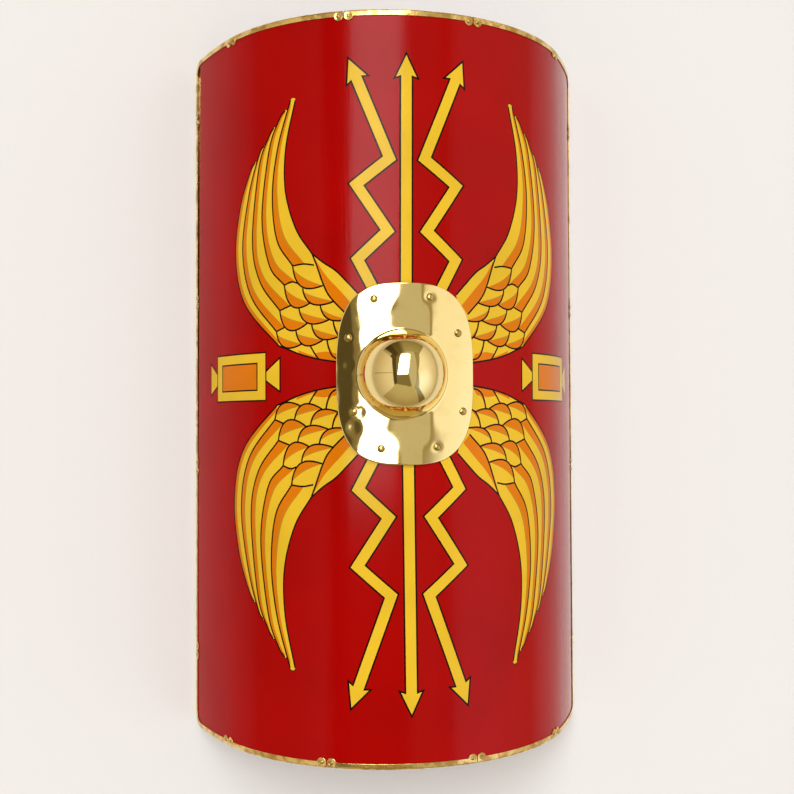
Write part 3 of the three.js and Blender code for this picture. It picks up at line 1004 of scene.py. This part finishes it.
def pins(name, spots, seats, sizes, material):
    """A pin at each spot of the unrolled face, its head seated at a height over the paint."""
    source = point_data(name, [bend(u, v) for u, v in spots], face_out=[out_of_face(u) for u, _ in spots],
                        seat=[height * MM for height in seats])
    p = Pattern(name, sizes)
    face_out = p.named("face_out", "FLOAT_VECTOR")
    turned = p.node("FunctionNodeAlignRotationToVector", {"axis": "Z"}, {"Vector": face_out})["Rotation"]

    def cap(radius, rise, drop):
        round_ball = {"Segments": p.given["Sides"], "Rings": 12, "Radius": 1.0}
        ball = p.node("GeometryNodeMeshUVSphere", {}, round_ball)["Mesh"]
        scale = p.node("ShaderNodeCombineXYZ", {}, {"X": radius, "Y": radius, "Z": rise})["Vector"]
        shift = p.node("ShaderNodeCombineXYZ", {}, {"Z": 0.0 - drop})["Vector"]
        moved = {"Geometry": ball, "Scale": scale, "Translation": shift}
        return p.node("GeometryNodeTransform", {}, moved)["Geometry"]

    head = cap(p.given["Head Radius"], p.given["Head Rise"], 0.0)
    tail = cap(p.given["Tail Radius"], p.given["Tail Rise"], p.given["Depth"])
    lifted = p.node("GeometryNodeSetPosition", {}, {
        "Geometry": p.given["Geometry"], "Offset": p.vector("SCALE", face_out, p.named("seat"))})["Geometry"]
    join = p.tree.nodes.new("GeometryNodeJoinGeometry")
    for spots_of, part in ((p.given["Geometry"], tail), (lifted, head)):
        stood = p.node("GeometryNodeInstanceOnPoints", {}, {
            "Points": spots_of, "Instance": part, "Rotation": turned})["Instances"]
        p.tree.links.new(stood.socket, join.inputs[0])
    return p.run(Wire(p, join.outputs[0]), material, source)


# %% The boss rivets
def rivet_brass():
    m = Recipe("rivet_brass")
    grime = m.noise(380.0, detail=3.0)
    tone = m.blend(grime.above(0.4, 0.7), rgb(200, 174, 104), rgb(128, 100, 50))
    return m.finish(Base_Color=tone, Metallic=1.0, Roughness=0.24 + 0.12 * grime)


seats = [PLATE_GAP + SHEET - RIVET_SINK + sheet_lift(u, v) for u, v in RIVET_PLACES]
rivet_sizes = {"Head Radius": 5.6 * MM, "Head Rise": 3.0 * MM, "Tail Radius": 4 * MM,
               "Tail Rise": 1.8 * MM, "Depth": BOARD_THICKNESS * MM, "Sides": 28}
rivets = pins("boss_rivets", RIVET_PLACES, seats, rivet_sizes, rivet_brass())
piece("boss_rivets", rivets, "rivet_brass", *[f"boss_rivet_{i + 1}" for i in range(len(RIVET_PLACES))])

# %% [markdown]
# The rim is thin brass folded over the board's edge and nailed on in sixteen sections. Its section
# is a channel; at each end of a piece the lip swells into a round lobe that carries a nail, and is
# dished round it. The pattern sweeps the channel along the edge's path with Curve to Mesh, then
# puts every point where its path point and its place in the section say, so the channel turns
# with the board's bend and never twists.

# %% The rim's path
LIP = 5
LOBE_RADIUS = 6.4
NAIL_INSET = 4.2
SEAM_GAP = 1.5
RIM_GAP = 0.45
RIM_SHEET = 0.9
EDGE_REST = 4.15
SEAMS = {
    "top": [-294, -90, 97, 296],
    "right": [430, 134, -120, -405],
    "bottom": [277, 97, -117, -305],
    "left": [-407, -117, 141, 434],
}
straight_u = BOARD_HALF_ARC - CORNER_RADIUS
straight_v = board_half_height - CORNER_RADIUS
corner_arc = CORNER_RADIUS * math.pi / 2
runs = [straight_u, corner_arc, 2 * straight_v, corner_arc, 2 * straight_u, corner_arc, 2 * straight_v,
        corner_arc, straight_u]
perimeter = sum(runs)


def edge_at(p):
    """The board's edge at the distance p clockwise from the top's middle: u, v, outward direction."""
    left = p % perimeter
    u, v, heading = 0.0, board_half_height, 0.0
    for number, run in enumerate(runs):
        go = min(left, run)
        if number % 2:
            turn = go / CORNER_RADIUS
            chord = 2 * CORNER_RADIUS * math.sin(turn / 2)
            u += chord * math.cos(heading - turn / 2)
            v += chord * math.sin(heading - turn / 2)
            heading -= turn
        else:
            u += go * math.cos(heading)
            v += go * math.sin(heading)
        left -= go
        if left <= 0:
            break
    return u, v, (-math.sin(heading), math.cos(heading))


starts = {"top": 0, "right": straight_u + corner_arc, "bottom": straight_u + 2 * corner_arc + 2 * straight_v,
          "left": 3 * straight_u + 3 * corner_arc + 2 * straight_v}
seams = [*SEAMS["top"], *[starts["right"] + straight_v - s for s in SEAMS["right"]],
         *[starts["bottom"] + straight_u - s for s in SEAMS["bottom"]],
         *[starts["left"] + straight_v + s for s in SEAMS["left"]]]
sections = [(a + SEAM_GAP / 2, b - SEAM_GAP / 2) for a, b in zip(seams, [*seams[1:], seams[0] + perimeter])]


def lobe_reach(from_end):
    """How far the lip reaches over the board at a distance from a section's end."""
    bulge = LOBE_RADIUS**2 - (from_end - LOBE_RADIUS) ** 2
    return max(LIP, NAIL_INSET + math.sqrt(max(bulge, 0)))


def rim_path():
    points, edges = [], []
    data = {"outward": [], "face_out": [], "reach": [], "from_nail": []}
    for start, end in sections:
        lobe = 2 * LOBE_RADIUS + 1.0
        ends = np.linspace(0, lobe, 26)
        middle = np.linspace(lobe, end - start - lobe, max(int((end - start - 2 * lobe) / 5), 2))[1:-1]
        for s in [*ends, *middle, *(end - start - ends[::-1])]:
            u, v, out = edge_at(start + s)
            place = bend(u, v)
            ahead = bend(u + out[0] * 0.5, v + out[1] * 0.5) - place
            nearest = min(abs(s - LOBE_RADIUS), abs(end - start - s - LOBE_RADIUS))
            if s > 0:
                edges.append((len(points) - 1, len(points)))
            points.append(place)
            data["outward"].append(ahead.normalized())
            data["face_out"].append(out_of_face(u))
            data["reach"].append(lobe_reach(min(s, end - start - s)) * MM)
            data["from_nail"].append(nearest * MM)
    return point_data("rim_path", points, edges, **data)


# %% The rim's section, and the pattern that sweeps it
DISH_DEPTH = 0.45
DISH_FROM = 5.6
DISH_TO = 3.2


def rest_reach(n):
    """How far past the board's edge the rim's outer side lies at depth n, flat on the floor."""
    lean = tilt(BOARD_HALF_ARC)
    return (EDGE_REST + n * math.cos(lean)) / math.sin(lean)


def channel_section():
    """The closed section: fixed reach past the edge, share of the lip's reach, height, front or not."""
    front = RIM_GAP + RIM_SHEET
    back = -(BOARD_THICKNESS + front)
    shares = [1, 0.9, 0.8, 0.7, 0.6, 0.5, 0.4, 0.3, 0.2, 0.1]
    nose = [(1.0 + (rest_reach(-2) - 1.1) * math.sin(a), 0, -2 + (front + 1.9) * math.cos(a), 0)
            for a in np.linspace(0, math.pi / 2, 7)]
    low = rest_reach(-8)
    heel = [(low + (0.3 - low) * s, 0, -8 + (back + 8) * s, 0) for s in (0, 0.4, 0.75, 1)]
    return [*[(0, s, front, 1) for s in shares], *nose, *heel, (0, 1, back, 0), (0, 1, back + RIM_SHEET, 0),
            (0.3, 0, back + RIM_SHEET, 0), (0.9, 0, RIM_GAP, 0), *[(0, s, RIM_GAP, 1) for s in shares[::-1]]]


def aged_brass():
    m = Recipe("rim_brass")
    stain = m.noise(60.0, detail=4.0, roughness=0.6)
    speck = m.noise(500.0, detail=2.0)
    tone = m.blend(stain.above(0.42, 0.62), rgb(238, 208, 134), rgb(192, 150, 78))
    tone = m.blend(speck.above(0.62, 0.75) * 0.4, tone, rgb(96, 66, 30))
    return m.finish(Base_Color=tone, Metallic=1.0, Roughness=0.18 + 0.2 * stain.above(0.4, 0.7),
                    Normal=m.bump(m.noise(130.0, detail=2.0), 0.0006, 0.5))


def rim_channel():
    section = channel_section()
    count = len(section)
    ring = point_data(
        "rim_section", [(t * MM, n * MM, 0) for t, _, n, _ in section],
        [(i, (i + 1) % count) for i in range(count)],
        fixed=[float(t * MM) for t, _, _, _ in section], share=[float(s) for _, s, _, _ in section],
        height=[float(n * MM) for _, _, n, _ in section], front=[float(f) for _, _, _, f in section],
    )
    profile = shown("rim_section", ring)
    sizes = {"Section": profile, "Dish Depth": DISH_DEPTH * MM, "Nail Inset": NAIL_INSET * MM}
    p = Pattern("rim_channel", sizes)
    shape = p.node("GeometryNodeObjectInfo", {}, {"Object": p.given["Section"]})["Geometry"]
    path = p.node("GeometryNodeMeshToCurve", {}, {"Mesh": p.given["Geometry"]})["Curve"]
    closed = p.node("GeometryNodeMeshToCurve", {}, {"Mesh": shape})["Curve"]
    position = p.node("GeometryNodeInputPosition")["Position"]
    stored = p.node("GeometryNodeStoreNamedAttribute", {"data_type": "FLOAT_VECTOR"}, {
        "Geometry": path, "Name": "spot", "Value": position})["Geometry"]
    swept = p.node("GeometryNodeCurveToMesh", {}, {
        "Curve": stored, "Profile Curve": closed, "Fill Caps": True})["Mesh"]
    over = p.named("fixed") - p.named("share") * p.named("reach")
    along = p.named("from_nail")
    across = over + p.given["Nail Inset"]
    from_nail = (along * along + across * across) ** 0.5
    dish = 1 - from_nail.above(DISH_TO * MM, DISH_FROM * MM)
    rise = p.named("height") - dish * p.named("front") * p.given["Dish Depth"]
    out = p.vector("SCALE", p.named("outward", "FLOAT_VECTOR"), over)
    up = p.vector("SCALE", p.named("face_out", "FLOAT_VECTOR"), rise)
    place = p.vector("ADD", p.vector("ADD", p.named("spot", "FLOAT_VECTOR"), out), up)
    placed = p.node("GeometryNodeSetPosition", {}, {"Geometry": swept, "Position": place})["Geometry"]
    mesh = p.run(placed, aged_brass(), rim_path())
    bpy.data.objects.remove(profile)
    return mesh


rim = rim_channel()
print("rim:", len(rim.vertices), "points")
rim_nodes = sorted(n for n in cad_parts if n.startswith("rim_") and "nail" not in n)
piece("brass_rim", rim, "rim_brass", *rim_nodes)

# %% The rim nails
nail_spots = []
for start, end in sections:
    for p in (start + LOBE_RADIUS, end - LOBE_RADIUS):
        u, v, out = edge_at(p)
        nail_spots.append((u - NAIL_INSET * out[0], v - NAIL_INSET * out[1]))
nail_seat = RIM_GAP + RIM_SHEET - DISH_DEPTH
nail_sizes = {"Head Radius": 2.7 * MM, "Head Rise": 1.6 * MM, "Tail Radius": 2.4 * MM, "Tail Rise": 1.2 * MM,
              "Depth": (BOARD_THICKNESS + RIM_GAP + RIM_SHEET) * MM, "Sides": 16}
nails = pins("rim_nails", nail_spots, [nail_seat] * len(nail_spots), nail_sizes, rivet_brass())
piece("rim_nails", nails, "rivet_brass", *sorted(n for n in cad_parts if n.startswith("rim_nail")))

# %% [markdown]
# Behind the hand hole a wooden bar is the grip. It is planed to the board's curve in front and
# rounded for the fist behind, so its section changes all along it. It is lofted: a rounded
# section at many places, with the front edge of each pushed up against the board's back.

# %% The grip
GRIP_STATIONS = 64
GRIP_SIDES = 40
GRIP_ROUNDING = 3.2
GRIP_GAP = 0.5
END_ROUNDING = 8
END_SIZE = 0.75


def grip_mesh():
    low, high = (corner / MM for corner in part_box("grip"))
    middle_v = (low.y + high.y) / 2
    half = (high.y - low.y) / 2
    roof_radius = CENTRE_RADIUS - BOARD_THICKNESS - GRIP_GAP
    points = []
    for s in np.linspace(0, 1, GRIP_STATIONS + 1):
        x = high.x + (low.x - high.x) * s
        end = min(s, 1 - s) * (high.x - low.x)
        rounding = math.sqrt(max(1 - max(1 - end / END_ROUNDING, 0) ** 2, 0))
        roof = ridge - CENTRE_RADIUS + math.sqrt(roof_radius**2 - x**2)
        middle = (roof + low.z) / 2
        deep = (roof - low.z) / 2
        for i in range(GRIP_SIDES):
            a = 2 * math.pi * i / GRIP_SIDES
            c, d = math.cos(a), math.sin(a)
            size = (abs(c) ** GRIP_ROUNDING + abs(d) ** GRIP_ROUNDING) ** (-1 / GRIP_ROUNDING)
            shrink = END_SIZE + (1 - END_SIZE) * rounding
            y = middle_v + half * size * c * shrink
            z = middle + deep * size * d * shrink
            points.append(Vector((x, y, z)) * MM)
    caps = [tuple(range(GRIP_SIDES)), tuple(range(len(points) - 1, len(points) - GRIP_SIDES - 1, -1))]
    return lofted("grip", points, GRIP_STATIONS + 1, GRIP_SIDES, caps)


def oiled_ash():
    m = Recipe("oiled_ash")
    rings = m.noise(45.0, detail=4.0, stretch=(0.08, 1, 1), roughness=0.6)
    pores = m.noise(600.0, detail=2.0, stretch=(0.03, 1, 1))
    tone = m.blend(rings.above(0.35, 0.65), rgb(190, 140, 86), rgb(132, 86, 46))
    tone = m.blend(pores.above(0.58, 0.7) * 0.5, tone, rgb(80, 50, 28))
    return m.finish(Base_Color=tone, Roughness=0.48, Normal=m.bump(pores, 0.0002, 0.4))


grip = grip_mesh()
grip.materials.append(oiled_ash())
piece("wooden_grip", grip, "grip_wood", "grip")
